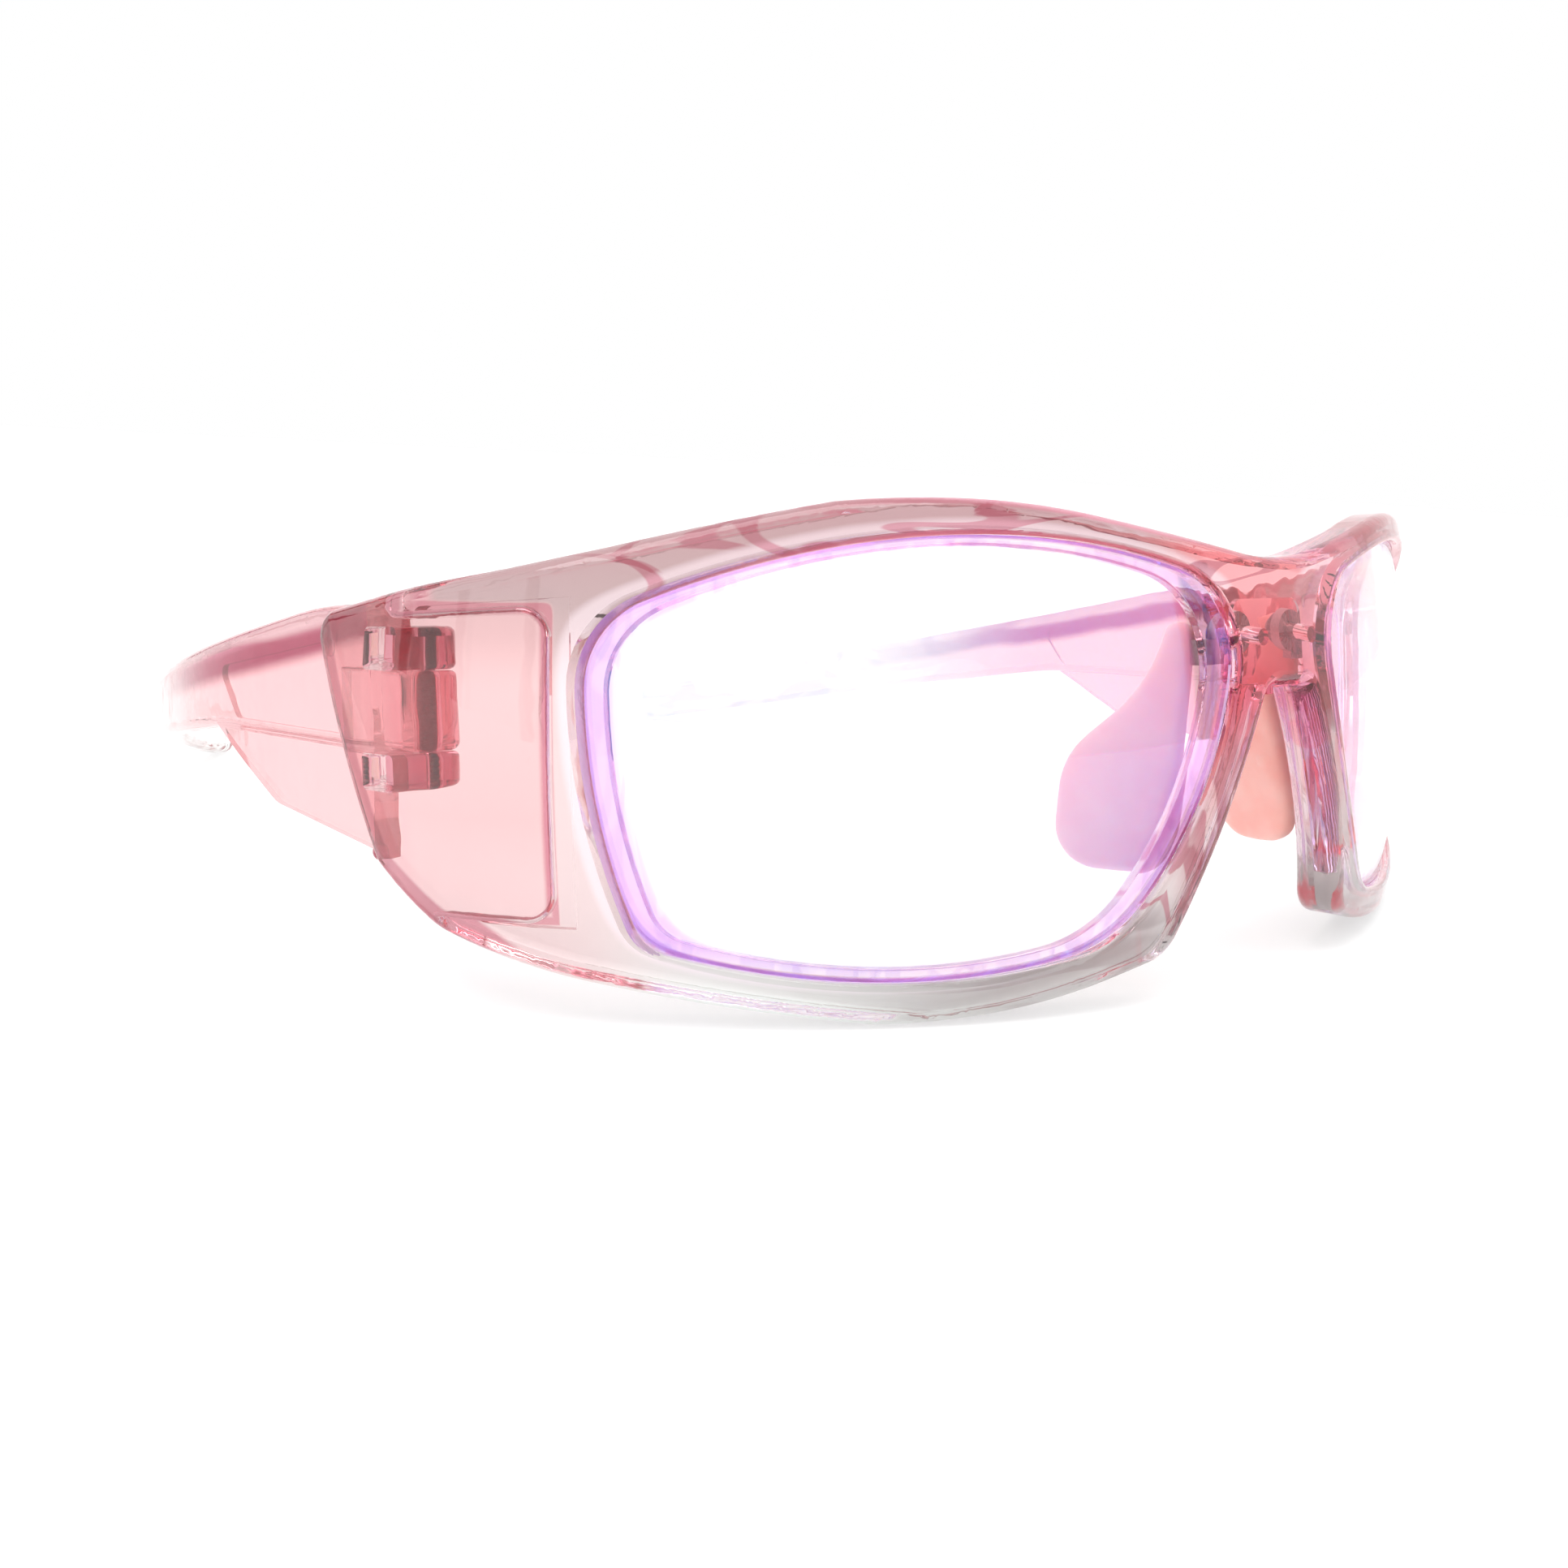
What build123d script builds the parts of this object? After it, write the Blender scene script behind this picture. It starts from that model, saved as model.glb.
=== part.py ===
from build123d import *

import os
from math import asin, atan2, cos, degrees, radians, sin, sqrt

# Wrap-around blue light glasses: a clear moulded front with side shields, two lenses, two folding
# temples and two adjustable soft nose pads. Millimetres.
#
# The pieces are drawn as worn: X across the face, Y back along the temples and Z up, with the origin
# at the front of the bridge, level with the middle of the lenses. They are written as the glasses lie
# on a table, tipped forward until the rims and the temple ends touch it.

# Wrap of the front: a ball-shaped face that bends round into two flat sides.
WRAP_R = 95.0
WRAP_DEG = 43.2
SIDE_R = 28.0
WALL_HALF_HEIGHT = 33.0
RIM_DEPTH = 5.0
OUTER_ROUND = 1.5
INNER_ROUND = 1.2
OPENING_ROUND = 0.5
SIDE_REAR_Y = 62.0

# Lenses, set at the wrap's tilt in a groove of the rim.
LENS_X = 36.7
LENS_TILT = 22.7
LENS_SET_BACK = 1.3
LENS_T = 2.2
GROOVE_DEPTH = 0.5
GROOVE_GAP = 0.06
LIP_CENTRE_X = 4.5
LIP_SHARE = (0.915, 0.945)
LENS_CORNERS = ((35.6, 12.4), (-26.5, 14.4), (-12.0, -17.6), (31.4, -15.0))
LENS_MIDS = ((4.5, 19.7), (-23.2, -1.6), (9.7, -19.2), (35.5, -1.3))
LENS_CORNER_R = (8.0, 9.0, 13.0, 4.5)
LENS_BEVEL = 0.3
LENS_SWEEP_DEG = 60.0
LENS_BOX = ((-27.0, 36.5), (-19.8, 20.2))

# Side shields: the flat sides are thinned from inside, and the temples hinge behind them.
SHIELD_T = 2.4
SHIELD_START_DEG = 51.0
SHIELD_OPEN_Y = 47.6
SHIELD_CORNER_R = 2.6
SHIELD_FLOOR_R = 0.8
STEP_START_DEG = 47.5
STEP_DEPTH = 0.8
BEAD_R = 0.85
BEAD_SINK = 0.4
BEAD_Z = -8.0

# Hinges.
PIN_X = 67.0
PIN_Y = 47.0
PIN_R = 0.75
BARREL_R = 2.5
BARREL_ROUND = 0.6
TONGUE_Z = (1.0, 8.1)
UPPER_KNUCKLE_Z = (8.2, 12.0)
LOWER_KNUCKLE_Z = (-2.4, 0.9)
RUNNING_GAP = 0.05
CLOSE_GAP = 0.02
TONGUE_LENGTH = 10.5
HEAD_R = 1.5
HEAD_T = 0.9
THREAD_PITCH = 0.5
THREAD_DEPTH = 0.18
THREAD_END = 0.2
HINGE_THREAD = 2.4
SCREW_SHORT = 0.3
CROSS_WIDTH = 0.3

# Temples: straight for a stretch, then one long bend towards the head.
TEMPLE_X = 70.2
TEMPLE_Y = 50.0
TEMPLE_BOW_DEG = 1.6
TEMPLE_STRAIGHT = 25.0
TEMPLE_BEND_R = 116.0
TEMPLE_END_Y = 156.6
TEMPLE_T = 3.6
WEB_DEPTH = 0.5
EJECTOR_R = 0.85
EJECTOR_AT = (56.9, 9.9)
EJECTOR_X = 70.1
FIN_T = 1.8
ARM_ROUND = 1.2
TIP_ROUND = 1.8

# Nose pads, and the block behind the bridge that they are screwed to.
BLOCK_HALF_WIDTH = 5.4
BLOCK_Z = (5.4, 13.4)
BLOCK_REAR_Y = 6.6
BLOCK_ROUND = 1.5
GATE_NUB_R = 0.9
GATE_NUB_Y = 3.4
SCREW_X = 4.2
SCREW_Z = 10.2
SCREW_R = 0.8
SCREW_TIP_Y = 1.4
SCREW_PLAIN = 0.4
NOSE_ARM_T = 0.8
TAB_R = 2.0
LEG_LENGTH = 2.8
ARM_BEND_X = 7.6
ARM_Z = 8.6
ARM_WIDTH = 2.4
PAD_CENTRE = (11.0, 10.0, -3.3)
PAD_SPLAY = 16.1
PAD_LEAN = 14.4
PAD_T = 2.6
PAD_ROUND = 0.9

# Rest on a table.
REST_TILT = 5.7

# Cuts and outlines run past the part by these lengths; edges are picked out to this closeness.
THROUGH = 100.0
PAST = 2.0
CLOSE = 0.01


def direction_plane(centre, angle):
    """Upright plane through a point of the plan, facing along the wrap at this angle from the front."""
    a = radians(angle)
    return Plane(origin=(*centre, 0), x_dir=(sin(a), -cos(a), 0), z_dir=(-cos(a), -sin(a), 0))


def wall_section(plane, arc_centre, outer, inner):
    """Cross-section of the wrap between two depths below its outer face."""
    half_angle = degrees(asin(WALL_HALF_HEIGHT / WRAP_R))
    with BuildSketch(plane) as section:
        with BuildLine():
            outer_arc = CenterArc((arc_centre, 0), WRAP_R - outer, -half_angle, 2 * half_angle)
            inner_arc = CenterArc((arc_centre, 0), WRAP_R - inner, -half_angle, 2 * half_angle)
            Line(outer_arc @ 0, inner_arc @ 0)
            Line(outer_arc @ 1, inner_arc @ 1)
        make_face()
    return section.sketch


front_centre = (0, WRAP_R)
side_centre = (
    (WRAP_R - SIDE_R) * sin(radians(WRAP_DEG)),
    WRAP_R - (WRAP_R - SIDE_R) * cos(radians(WRAP_DEG)),
)
side_x = side_centre[0] + SIDE_R


def front_wall(outer, inner, start, end):
    """Ball-shaped part of the wrap, between two angles from the middle."""
    section = wall_section(direction_plane(front_centre, start), 0, outer, inner)
    revolve(section, axis=Axis((*front_centre, 0), (0, 0, 1)), revolution_arc=end - start)


def side_wall(outer, inner, start):
    """Bend into the side and the flat side behind it, from an angle of the bend to the rear."""
    bend = wall_section(direction_plane(side_centre, start), SIDE_R - WRAP_R, outer, inner)
    revolve(bend, axis=Axis((*side_centre, 0), (0, 0, 1)), revolution_arc=90 - start)
    flat = wall_section(direction_plane(side_centre, 90), SIDE_R - WRAP_R, outer, inner)
    extrude(flat, amount=-(SIDE_REAR_Y - side_centre[1]))


def lens_outline(grow=0.0, share=(1, 1)):
    """Four gentle arcs with rounded corners; x runs outwards to the temple."""

    def shrink(point):
        return LIP_CENTRE_X + (point[0] - LIP_CENTRE_X) * share[0], point[1] * share[1]

    corners = [shrink(corner) for corner in LENS_CORNERS]
    with BuildSketch(lens_plane) as outline:
        with BuildLine():
            for i, mid in enumerate(LENS_MIDS):
                ThreePointArc(corners[i], shrink(mid), corners[(i + 1) % 4])
        make_face()
        for corner, corner_r in zip(corners, LENS_CORNER_R):
            fillet(outline.vertices().sort_by_distance((*corner, 0))[0], corner_r)
        if grow:
            offset(amount=grow)
    return outline.sketch


lens_plane = Plane(
    origin=(LENS_X, 0, 0),
    x_dir=(cos(radians(LENS_TILT)), sin(radians(LENS_TILT)), 0),
    z_dir=(sin(radians(LENS_TILT)), -cos(radians(LENS_TILT)), 0),
)


def lens_body(gap):
    """Curved lens with its edge in the groove; the gap makes the room that the groove needs."""
    front_wall(LENS_SET_BACK - gap, LENS_SET_BACK + LENS_T + gap, 0, LENS_SWEEP_DEG)
    extrude(lens_outline(GROOVE_DEPTH + gap), amount=THROUGH, both=True, mode=Mode.INTERSECT)


def wrap_depth(point):
    """Depth of a point below the outer face of the wrap."""
    across = Vector(point.X, point.Y - WRAP_R)
    if degrees(atan2(across.X, -across.Y)) > WRAP_DEG:
        back = max(0, side_centre[1] - point.Y)
        reach = sqrt((point.X - side_centre[0]) ** 2 + back**2) + WRAP_R - SIDE_R
    else:
        reach = across.length
    return WRAP_R - sqrt(reach**2 + point.Z**2)


def is_seam(edge):
    """Whether an edge only divides the wall where one of its curves meets the next, or halves it."""
    ends = [edge @ 0, edge @ 0.5, edge @ 1]
    middle = all(abs(p.X) < CLOSE for p in ends)
    bend = all(abs(degrees(atan2(p.X, WRAP_R - p.Y)) - WRAP_DEG) < CLOSE for p in ends)
    flat = all(abs(p.Y - side_centre[1]) < CLOSE for p in ends)
    return middle or bend or flat


def edges_at(part, depth):
    """Edges of a wall's face at this depth, without its seams."""
    return part.edges().filter_by(
        lambda e: not is_seam(e) and all(abs(wrap_depth(e @ t) - depth) < CLOSE for t in (0, 0.5, 1))
    )


def is_front_corner(edge):
    """Whether an edge is a corner of the shield's room, and runs through the wall's thickness."""
    ends = [edge @ 0, edge @ 1]
    turns = [degrees(atan2(p.X - side_centre[0], side_centre[1] - p.Y)) for p in ends]
    on_front = all(abs(turn - SHIELD_START_DEG) < CLOSE for turn in turns)
    return on_front and abs(wrap_depth(ends[0]) - wrap_depth(ends[1])) > 1


def near_lens(edge):
    """Whether an edge runs round the lens opening."""
    local = lens_plane.to_local_coords(edge @ 0.5)
    (left, right), (bottom, top) = LENS_BOX
    return left < local.X < right and bottom < local.Y < top


def view_outline(plane, points, radii):
    """Closed outline of straight runs joined by tangent arcs."""
    with BuildSketch(plane) as outline:
        with BuildLine():
            FilletPolyline(*points, radius=radii, close=True)
        make_face()
    return outline.sketch


# Front frame -------------------------------------------------------------------------------------
# One half is made, with its end of the hinge and half of the bridge block, and then mirrored.

knuckle_reach = side_x - SHIELD_T / 2 - PIN_X


def barrel(z_range, reach, across):
    """Barrel of the hinge with a block that reaches out from it, rounded above and below."""
    with BuildPart() as block:
        with BuildSketch(Plane.XY.offset(z_range[0])):
            with Locations((PIN_X, PIN_Y)):
                Circle(BARREL_R)
                with Locations((reach / 2, 0) if across else (0, reach / 2)):
                    Rectangle(*((reach, 2 * BARREL_R) if across else (2 * BARREL_R, reach)))
        extrude(amount=z_range[1] - z_range[0])
        ends = block.faces().filter_by(Axis.Z).edges()
        fillet(ends.filter_by(GeomType.CIRCLE), BARREL_ROUND)
    return block.part


with BuildPart() as lens_seat:
    lens_body(GROOVE_GAP)

# The lens goes in from the front, against a lip that stands in behind it.
with BuildPart() as lens_way:
    front_wall(-PAST, LENS_SET_BACK + LENS_T + GROOVE_GAP, 0, LENS_SWEEP_DEG)
    extrude(lens_outline(), amount=THROUGH, both=True, mode=Mode.INTERSECT)

# Room behind the shield: the wall is cut back from inside, and is open above where the temple sits.
with BuildPart() as shield_room:
    side_wall(SHIELD_T, RIM_DEPTH + PAST, SHIELD_START_DEG)
    shield_view = view_outline(
        Plane.YZ,
        [
            (20, -13.1), (20, 14.6), (SHIELD_OPEN_Y - 1.5, 13.2), (SHIELD_OPEN_Y, 25),
            (70, 25), (70, -25), (SHIELD_OPEN_Y, -25), (42, -12.9),
        ],
        [0, 0, 1.5, 1, 1, 1, 1, 2.5],
    )
    extrude(shield_view, amount=THROUGH, mode=Mode.INTERSECT)
    fillet(shield_room.edges().filter_by(is_front_corner), SHIELD_CORNER_R)
    fillet(edges_at(shield_room.part, SHIELD_T), SHIELD_FLOOR_R)

with BuildPart() as shield_step:
    side_wall(RIM_DEPTH - STEP_DEPTH, RIM_DEPTH + PAST, STEP_START_DEG)
    step_view = view_outline(
        Plane.YZ, [(20, -14.0), (20, 15.3), (44, 13.6), (44, 5), (38, -13.2)], [0, 0, 1, 1, 1]
    )
    extrude(step_view, amount=THROUGH, mode=Mode.INTERSECT)

with BuildPart() as front_frame:
    front_wall(0, RIM_DEPTH, 0, WRAP_DEG)
    side_wall(0, RIM_DEPTH, WRAP_DEG)
    front_view = view_outline(
        Plane.XZ,
        [
            (-80, 14.5), (-41.5, 25.0), (0, 17.2), (41.5, 25.0), (80, 14.5),
            (80, -14.3), (39, -25.4), (14.5, -19.5), (3.3, 5.4), (-3.3, 5.4),
            (-14.5, -19.5), (-39, -25.4), (-80, -14.3),
        ],
        [1, 80, 33, 80, 1, 1, 70, 4.5, 2.5, 2.5, 4.5, 70, 1],
    )
    extrude(front_view, amount=THROUGH, both=True, mode=Mode.INTERSECT)
    side_view = view_outline(
        Plane.YZ,
        [(-8, 31.3), (31, 17.45), (58.4, 13.15), (47.2, -8.9), (40, -13.9), (-8, -31.3)],
        [1, 60, 2.5, 2.0, 8, 1],
    )
    extrude(side_view, amount=THROUGH, mode=Mode.INTERSECT)
    fillet(edges_at(front_frame.part, 0), OUTER_ROUND)
    fillet(edges_at(front_frame.part, RIM_DEPTH), INNER_ROUND)
    extrude(lens_outline(share=LIP_SHARE), amount=THROUGH, both=True, mode=Mode.SUBTRACT)
    add(lens_way.part, mode=Mode.SUBTRACT)
    fillet(edges_at(front_frame.part, 0).filter_by(near_lens), OPENING_ROUND)
    fillet(edges_at(front_frame.part, RIM_DEPTH).filter_by(near_lens), OPENING_ROUND)
    add(lens_seat.part, mode=Mode.SUBTRACT)
    add(shield_room.part, mode=Mode.SUBTRACT)
    add(shield_step.part, mode=Mode.SUBTRACT)
    with Locations((side_x - SHIELD_T / 2 - BEAD_SINK, SHIELD_OPEN_Y, BEAD_Z)):
        Sphere(BEAD_R)

    # Bridge block with the hole for the nose screw, and the moulding gate's nub under it.
    block_view = view_outline(
        Plane.XZ.offset(-RIM_DEPTH + 1),
        [
            (0, BLOCK_Z[0]), (0, BLOCK_Z[1]),
            (BLOCK_HALF_WIDTH, BLOCK_Z[1]), (BLOCK_HALF_WIDTH, BLOCK_Z[0]),
        ],
        [0, 0, BLOCK_ROUND, BLOCK_ROUND],
    )
    extrude(block_view, amount=-(BLOCK_REAR_Y - RIM_DEPTH + 1))
    with BuildSketch(Plane.XZ.offset(-BLOCK_REAR_Y)) as screw_hole:
        with Locations((SCREW_X, SCREW_Z)):
            Circle(SCREW_R + CLOSE_GAP)
    extrude(amount=BLOCK_REAR_Y - SCREW_TIP_Y + SCREW_SHORT, mode=Mode.SUBTRACT)
    with BuildSketch(Plane.XY.offset(BLOCK_Z[0] - GATE_NUB_R)) as gate_nub:
        with Locations((0, GATE_NUB_Y)):
            Circle(GATE_NUB_R)
    extrude(amount=2 * GATE_NUB_R)

    # Hinge barrels, bored for the screw, with a seat for its head.
    add(barrel(UPPER_KNUCKLE_Z, knuckle_reach, across=True))
    add(barrel(LOWER_KNUCKLE_Z, knuckle_reach, across=True))
    with BuildSketch(Plane.XY.offset(LOWER_KNUCKLE_Z[0] - PAST)) as screw_bore:
        with Locations((PIN_X, PIN_Y)):
            Circle(PIN_R + CLOSE_GAP)
    extrude(amount=UPPER_KNUCKLE_Z[1] - LOWER_KNUCKLE_Z[0] + 2 * PAST, mode=Mode.SUBTRACT)
    with BuildSketch(Plane.XY.offset(UPPER_KNUCKLE_Z[1] - HEAD_T - CLOSE_GAP)) as head_seat:
        with Locations((PIN_X, PIN_Y)):
            Circle(HEAD_R + RUNNING_GAP)
    extrude(amount=PAST, mode=Mode.SUBTRACT)

    split(bisect_by=Plane.YZ)
    mirror(about=Plane.YZ)

# Lenses ------------------------------------------------------------------------------------------

with BuildPart() as lens_left:
    lens_body(0)
    chamfer(lens_left.edges(), LENS_BEVEL)

# Temples -----------------------------------------------------------------------------------------

bow = radians(TEMPLE_BOW_DEG)
along = Vector(sin(bow), cos(bow))
inward = Vector(-cos(bow), sin(bow))
bend_start = Vector(TEMPLE_X, TEMPLE_Y) + along * TEMPLE_STRAIGHT
bend_deg = degrees(asin((TEMPLE_END_Y - bend_start.Y) / TEMPLE_BEND_R - sin(bow))) + TEMPLE_BOW_DEG


def temple_slice(outer, inner, side_outline):
    """Layer of the temple between two depths below its outer face, as tall as its side outline."""
    with BuildSketch(Plane.XY.offset(-THROUGH / 2)) as plan:
        with BuildLine():
            edges = []
            for depth in (outer, inner):
                start = bend_start + inward * depth
                straight = Line(start - along * TEMPLE_STRAIGHT, start)
                edges.append((straight, JernArc(start, along, TEMPLE_BEND_R - depth, bend_deg)))
            Line(edges[0][0] @ 0, edges[1][0] @ 0)
            Line(edges[0][1] @ 1, edges[1][1] @ 1)
        make_face()
    with BuildPart() as layer:
        extrude(plan.sketch, amount=THROUGH)
        extrude(side_outline, amount=THROUGH, mode=Mode.INTERSECT)
    return layer.part


arm_view = view_outline(
    Plane.YZ,
    [
        (45, 14.5), (63, 13.8), (90, 9.2), (125, 3.1), (165, -5.9),
        (165, -11.0), (118, -2.9), (86, 0.9), (45, 0.2),
    ],
    [0, 60, 0, 200, 0, 0, 200, 60, 0],
)
web_view = view_outline(Plane.YZ, [(60, 1.6), (60, 10.8), (86, 7.2), (82, 2.0)], 1.0)
fin_view = view_outline(
    Plane.YZ, [(48, 3), (48, -9.3), (71.5, -5.9), (85.5, 1.6), (84, 3)], [0, 0, 5, 0.5, 0]
)
arm = temple_slice(0, TEMPLE_T, arm_view)
fin = temple_slice(0, FIN_T, fin_view)
web_hollow = temple_slice(TEMPLE_T - WEB_DEPTH, TEMPLE_T + PAST, web_view)


def crosses_arm(edge):
    """Whether an edge runs level through the arm's thickness."""
    rise = abs((edge @ 1).Z - (edge @ 0).Z)
    return rise < CLOSE and edge.length < 1.2 * TEMPLE_T


def follows_arm(edge):
    """Whether an edge bounds the arm's length or its end, and doesn't only divide its face."""
    middle = edge @ 0.5
    upright = (edge @ 1 - edge @ 0).cross(Vector(0, 0, 1)).length < CLOSE
    seam = upright and middle.Y < TEMPLE_END_Y - 5
    return not crosses_arm(edge) and not seam and middle.Y > TEMPLE_Y + 1


with BuildPart() as temple_left:
    add(arm)
    tip_corners = temple_left.edges().filter_by(
        lambda e: (e @ 0.5).Y > TEMPLE_END_Y - 5 and e.length < 1.2 * TEMPLE_T
    )
    fillet(tip_corners, TIP_ROUND)
    fillet(temple_left.edges().filter_by(follows_arm), ARM_ROUND)
    add(web_hollow, mode=Mode.SUBTRACT)
    add(fin)
    add(barrel(TONGUE_Z, TONGUE_LENGTH, across=False))
    with BuildSketch(Plane.YZ.offset(EJECTOR_X)) as ejector_mark:
        with Locations(EJECTOR_AT):
            Circle(EJECTOR_R)
    extrude(amount=PAST, mode=Mode.SUBTRACT)
    with BuildSketch(Plane.XY.offset(TONGUE_Z[0] - PAST)) as pin_bore:
        with Locations((PIN_X, PIN_Y)):
            Circle(PIN_R + RUNNING_GAP)
    extrude(amount=TONGUE_Z[1] - TONGUE_Z[0] + 2 * PAST, mode=Mode.SUBTRACT)

# Screws ------------------------------------------------------------------------------------------


def screw(origin, axis, side, shaft_r, length, threaded):
    """Cross-headed screw from the point under its head; axis points out of the head, side across it."""
    lengthways = Plane(origin=origin, x_dir=side, z_dir=Vector(*side).cross(Vector(*axis)))
    turns = round(threaded / THREAD_PITCH)
    outline = [(0, -length)]
    for turn in range(turns):
        outline.append((shaft_r - THREAD_DEPTH, -length + turn * THREAD_PITCH))
        outline.append((shaft_r, -length + (turn + 0.5) * THREAD_PITCH))
    outline.append((shaft_r - THREAD_DEPTH, -length + turns * THREAD_PITCH))
    outline.append((shaft_r, -length + threaded + THREAD_END))
    outline += [(shaft_r, 0), (HEAD_R, 0), (HEAD_R, 0.6 * HEAD_T), (0.7 * HEAD_R, HEAD_T), (0, HEAD_T)]
    with BuildPart() as body:
        with BuildSketch(lengthways) as profile:
            with BuildLine():
                Polyline(*outline, close=True)
            make_face()
        revolve(axis=Axis(origin, axis))
        top = Vector(*origin) + Vector(*axis) * HEAD_T
        with BuildSketch(Plane(origin=top, x_dir=side, z_dir=axis)) as recess:
            Rectangle(1.3 * HEAD_R, CROSS_WIDTH)
            Rectangle(CROSS_WIDTH, 1.3 * HEAD_R)
        extrude(amount=-0.5 * HEAD_T, mode=Mode.SUBTRACT)
    return body


hinge_screw_left = screw(
    origin=(PIN_X, PIN_Y, UPPER_KNUCKLE_Z[1] - HEAD_T),
    axis=(0, 0, 1),
    side=(1, 0, 0),
    shaft_r=PIN_R,
    length=UPPER_KNUCKLE_Z[1] - HEAD_T - LOWER_KNUCKLE_Z[0] - SCREW_SHORT,
    threaded=HINGE_THREAD,
)
nose_screw_left = screw(
    origin=(SCREW_X, BLOCK_REAR_Y + NOSE_ARM_T, SCREW_Z),
    axis=(0, 1, 0),
    side=(1, 0, 0),
    shaft_r=SCREW_R,
    length=BLOCK_REAR_Y + NOSE_ARM_T - SCREW_TIP_Y,
    threaded=BLOCK_REAR_Y - SCREW_TIP_Y - SCREW_PLAIN,
)

# Nose pads ---------------------------------------------------------------------------------------
# Each pad lies in a plane that splays back and leans out; a bent metal arm inside it holds it.

splay = radians(PAD_SPLAY)
lean = radians(PAD_LEAN)
pad_plane = Plane(
    origin=PAD_CENTRE,
    x_dir=(sin(splay), cos(splay), 0),
    z_dir=(cos(splay) * cos(lean), -sin(splay) * cos(lean), sin(lean)),
)

with BuildPart() as nose_arm_left:
    with BuildSketch(Plane.XZ.offset(-BLOCK_REAR_Y)) as tab:
        with Locations((SCREW_X, SCREW_Z)):
            Circle(TAB_R)
        with Locations(((SCREW_X + ARM_BEND_X) / 2, ARM_Z)):
            Rectangle(ARM_BEND_X - SCREW_X, ARM_WIDTH)
        with Locations((SCREW_X, SCREW_Z)):
            Circle(SCREW_R + CLOSE_GAP, mode=Mode.SUBTRACT)
    extrude(amount=-NOSE_ARM_T)
    with BuildSketch(Plane.XZ.offset(-BLOCK_REAR_Y)) as leg:
        with Locations((ARM_BEND_X - NOSE_ARM_T / 2, ARM_Z)):
            Rectangle(NOSE_ARM_T, ARM_WIDTH)
    extrude(amount=-LEG_LENGTH)
    strip_view = view_outline(pad_plane, [(-3.2, 12.2), (-1.2, 12.2), (1.2, -2), (-0.8, -2)], 0.9)
    extrude(strip_view, amount=NOSE_ARM_T / 2, both=True)

with BuildPart() as nose_pad_left:
    pad_view = view_outline(
        pad_plane,
        [
            (-3.3, 15.2), (-0.8, 15.2), (0.5, 9.0), (8.4, 1.6),
            (8.4, -9.1), (-1.4, -9.1), (-3.0, -5), (-3.3, 2),
        ],
        [1.2, 1.2, 14, 7, 4.5, 3.0, 4, 10],
    )
    extrude(pad_view, amount=PAD_T / 2, both=True)
    pad_rims = nose_pad_left.edges().filter_by(
        lambda e: abs(pad_plane.to_local_coords(e @ 0.5).Z) > 0.4 * PAD_T
    )
    fillet(pad_rims, PAD_ROUND)
    add(nose_arm_left.part, mode=Mode.SUBTRACT)

# Rest on a table ---------------------------------------------------------------------------------

lefts = {
    "lens": lens_left,
    "temple": temple_left,
    "hinge_screw": hinge_screw_left,
    "nose_screw": nose_screw_left,
    "nose_arm": nose_arm_left,
    "nose_pad": nose_pad_left,
}
pieces = {"front_frame": front_frame.part}
for name, piece in lefts.items():
    with BuildPart() as other:
        mirror(piece.part, about=Plane.YZ)
    pieces[f"{name}_left"] = piece.part
    pieces[f"{name}_right"] = other.part

tipped = [piece.rotate(Axis.X, -REST_TILT).bounding_box() for piece in pieces.values()]
low = min(box.min.Z for box in tipped)
front = min(box.min.Y for box in tipped)
rear = max(box.max.Y for box in tipped)
rest = Location((0, -(front + rear) / 2, -low), (-REST_TILT, 0, 0))

os.makedirs("parts", exist_ok=True)
for name, piece in pieces.items():
    with BuildPart() as placed:
        with Locations(rest):
            add(piece)
    placed.part.label = name
    export_step(placed.part, f"parts/{name}.step")
print("rest placement:", rest)
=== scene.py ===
from math import cos, radians, sin

import bpy
from mathutils import Matrix, Vector

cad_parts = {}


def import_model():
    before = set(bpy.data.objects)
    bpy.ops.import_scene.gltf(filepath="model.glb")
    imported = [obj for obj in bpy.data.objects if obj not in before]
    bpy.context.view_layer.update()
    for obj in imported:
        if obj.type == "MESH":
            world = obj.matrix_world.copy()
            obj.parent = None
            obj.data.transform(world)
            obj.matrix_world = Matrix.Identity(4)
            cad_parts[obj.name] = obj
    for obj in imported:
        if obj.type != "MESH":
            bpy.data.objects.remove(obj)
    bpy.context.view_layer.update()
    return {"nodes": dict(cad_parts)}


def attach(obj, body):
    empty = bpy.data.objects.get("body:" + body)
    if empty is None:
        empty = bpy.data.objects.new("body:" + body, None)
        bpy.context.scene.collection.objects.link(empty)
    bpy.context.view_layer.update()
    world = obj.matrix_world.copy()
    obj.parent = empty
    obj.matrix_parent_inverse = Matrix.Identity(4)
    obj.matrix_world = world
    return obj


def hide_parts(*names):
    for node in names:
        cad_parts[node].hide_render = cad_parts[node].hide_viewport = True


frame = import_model()

# The worn frame: X across the face, Y back, Z up, in millimetres from the front of the bridge. The
# glasses lie on the table tipped forward by TILT.
TILT = radians(5.7)
REST_SHIFT = Vector((0, -0.0774643, 0.0244773))
MM_PER_METRE = 1000
TO_ROW = (
    Matrix.Translation(REST_SHIFT)
    @ Matrix.Rotation(-TILT, 4, "X")
    @ Matrix.Scale(1 / MM_PER_METRE, 4)
)


def worn(x, y, z):
    """Row-frame position in metres of a point given as worn, in millimetres."""
    return TO_ROW @ Vector((x, y, z))


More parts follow.
